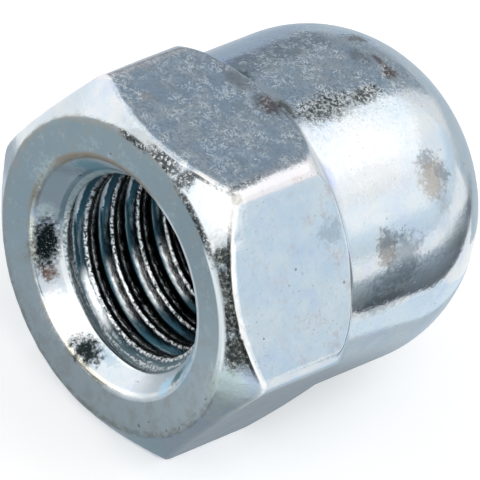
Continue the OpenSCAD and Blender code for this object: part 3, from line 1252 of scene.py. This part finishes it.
def floor_paper():
    """White paper, with a lift towards pure white where it is seen."""
    material = matt_material("floor_paper", 0.85)
    tree = material.node_tree
    shader = tree.nodes["Principled BSDF"]
    shader.inputs["Emission Color"].default_value = (1, 1, 1, 1)
    tree.links.new(scaled(tree, seen_directly(tree), 0, 0.32), shader.inputs["Emission Strength"])
    return material


def card_paint(name, shade, far_shade=None, length=1):
    """Looks the same from everywhere, whatever light falls on it.

    Its shade may run to another over a length, from the +Y edge to the -Y edge.
    """
    material = matt_material(name, 0)
    tree = material.node_tree
    shader = tree.nodes["Principled BSDF"]
    shader.inputs["Emission Color"].default_value = (*CARD_TINT, 1)
    shader.inputs["Emission Strength"].default_value = shade
    if far_shade is not None:
        coordinates = tree.nodes.new("ShaderNodeTexCoord").outputs["Object"]
        along = put(tree, "ShaderNodeSeparateXYZ", {0: coordinates}).outputs["Y"]
        sockets = {
            "Value": along, "From Min": length / 2, "From Max": -length / 2,
            "To Min": shade, "To Max": far_shade,
        }
        faded = put(tree, "ShaderNodeMapRange", sockets).outputs["Result"]
        tree.links.new(faded, shader.inputs["Emission Strength"])
    return material


def add_sheet(name, width, height, material, front_width=None):
    """A flat sheet, facing up at the origin. Its -Y edge may have a width of its own."""
    bm = bmesh.new()
    bmesh.ops.create_grid(bm, x_segments=1, y_segments=1, size=0.5)
    bmesh.ops.scale(bm, verts=bm.verts[:], vec=(width, height, 1))
    if front_width is not None:
        front = [vert for vert in bm.verts if vert.co.y < 0]
        bmesh.ops.scale(bm, verts=front, vec=(front_width / width, 1, 1))
    sheet = add_object(name, end_mesh(name, bm))
    sheet.data.materials.append(material)
    return sheet


def add_floor():
    floor = add_sheet("floor", 6, 6, floor_paper())
    floor.location.z = cad_low.z


def angle_size(angle):
    """Width of what looks this wide, in degrees, at the studio's distance."""
    return 2 * STUDIO_R * math.tan(math.radians(angle) / 2)


def add_card(name, azimuth, elevation, width, height, shade, low_shade=None, distance=STUDIO_R):
    """A card far out in the studio, which the metal mirrors. Width and height are angles."""
    paint = card_paint(name, shade, low_shade, angle_size(height))
    card = add_sheet(name, angle_size(width), angle_size(height), paint)
    aim(card, middle + from_angles(azimuth, elevation) * distance, middle)
    card.visible_camera = False


laid_cards = []


def lay_down(card, x, y, azimuth=0.0):
    """Lays a card on the floor, over those before it. Only the metal's reflections show it."""
    laid_cards.append(card)
    place = Vector((x * MM, y * MM, cad_low.z + CARD_LIFT * len(laid_cards)))
    card.matrix_world = Matrix.Translation(place) @ Matrix.Rotation(math.radians(azimuth), 4, "Z")
    card.visible_camera = False
    card.visible_diffuse = False
    card.visible_shadow = False


def add_floor_card(name, azimuth, near, far, near_w, far_w, shade, far_shade=None, aside=0):
    """A card on the floor, from near to far of the nut's middle. In millimetres.

    Aside moves it to the left as seen from the nut.
    """
    length = (far - near) * MM
    paint = card_paint(name, shade, far_shade, length)
    card = add_sheet(name, near_w * MM, length, paint, far_w * MM)
    left = from_angles(azimuth + 90, 0) * aside
    place = from_angles(azimuth, 0) * (near + far) / 2 + left + middle / MM
    lay_down(card, place.x, place.y, azimuth)


def add_contact_card():
    """A painted shadow: a card for the dim floor under the nut, dimmest in the middle of its
    ellipses.
    """
    paint = card_paint("contact_card", 1)
    tree = paint.node_tree
    coordinates = tree.nodes.new("ShaderNodeTexCoord").outputs["Object"]
    place = vector_calc(tree, "MULTIPLY", coordinates, (1 / MM, 1 / MM, 0))
    away = 2.0
    for centre_x, centre_y, reach_x, reach_y in CONTACT_SHADOWS:
        moved = shifted(tree, place, -centre_x, CONTACT_Y - centre_y, 0)
        shares = (1 / reach_x, 1 / reach_y, 0)
        near = vector_calc(tree, "LENGTH", vector_calc(tree, "MULTIPLY", moved, shares))
        away = calc(tree, "MINIMUM", near, away)
    shade = most(
        tree, level(tree, away, 0.6, 0.95, 0.36, 0.66), level(tree, away, 1.03, 1.17, 0, 1)
    )
    tree.links.new(shade, tree.nodes["Principled BSDF"].inputs["Emission Strength"])
    width, depth = CONTACT_SIZE
    card = add_sheet("contact_card", width * MM, depth * MM, paint)
    lay_down(card, 0, CONTACT_Y)


def add_softbox(name, azimuth, elevation, width, height, radiance):
    """A lamp far out in the studio, with a black back. Width and height are angles."""
    data = bpy.data.lights.new(name, "AREA")
    data.shape = "RECTANGLE"
    data.size = angle_size(width)
    data.size_y = angle_size(height)
    data.energy = radiance * math.pi * data.size * data.size_y
    lamp = add_object(name, data)
    aim(lamp, middle + from_angles(azimuth, elevation) * STUDIO_R, middle)
    lamp.visible_camera = False
    add_card(
        name + "_back", azimuth, elevation, width, height, 0, distance=STUDIO_R + BACK_GAP
    )


middle = (cad_low + cad_high) / 2
set_world()
add_floor()
for name, values in SOFTBOXES.items():
    add_softbox(name, *values)
for name, values in CARDS.items():
    add_card(name, *values)
for name, values in FLOOR_CARDS.items():
    add_floor_card(name, *values)
add_contact_card()

add_camera()
nut = make_nut()
nut.data.materials.append(zinc_plate())
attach(nut, "root")
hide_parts("cap_nut")
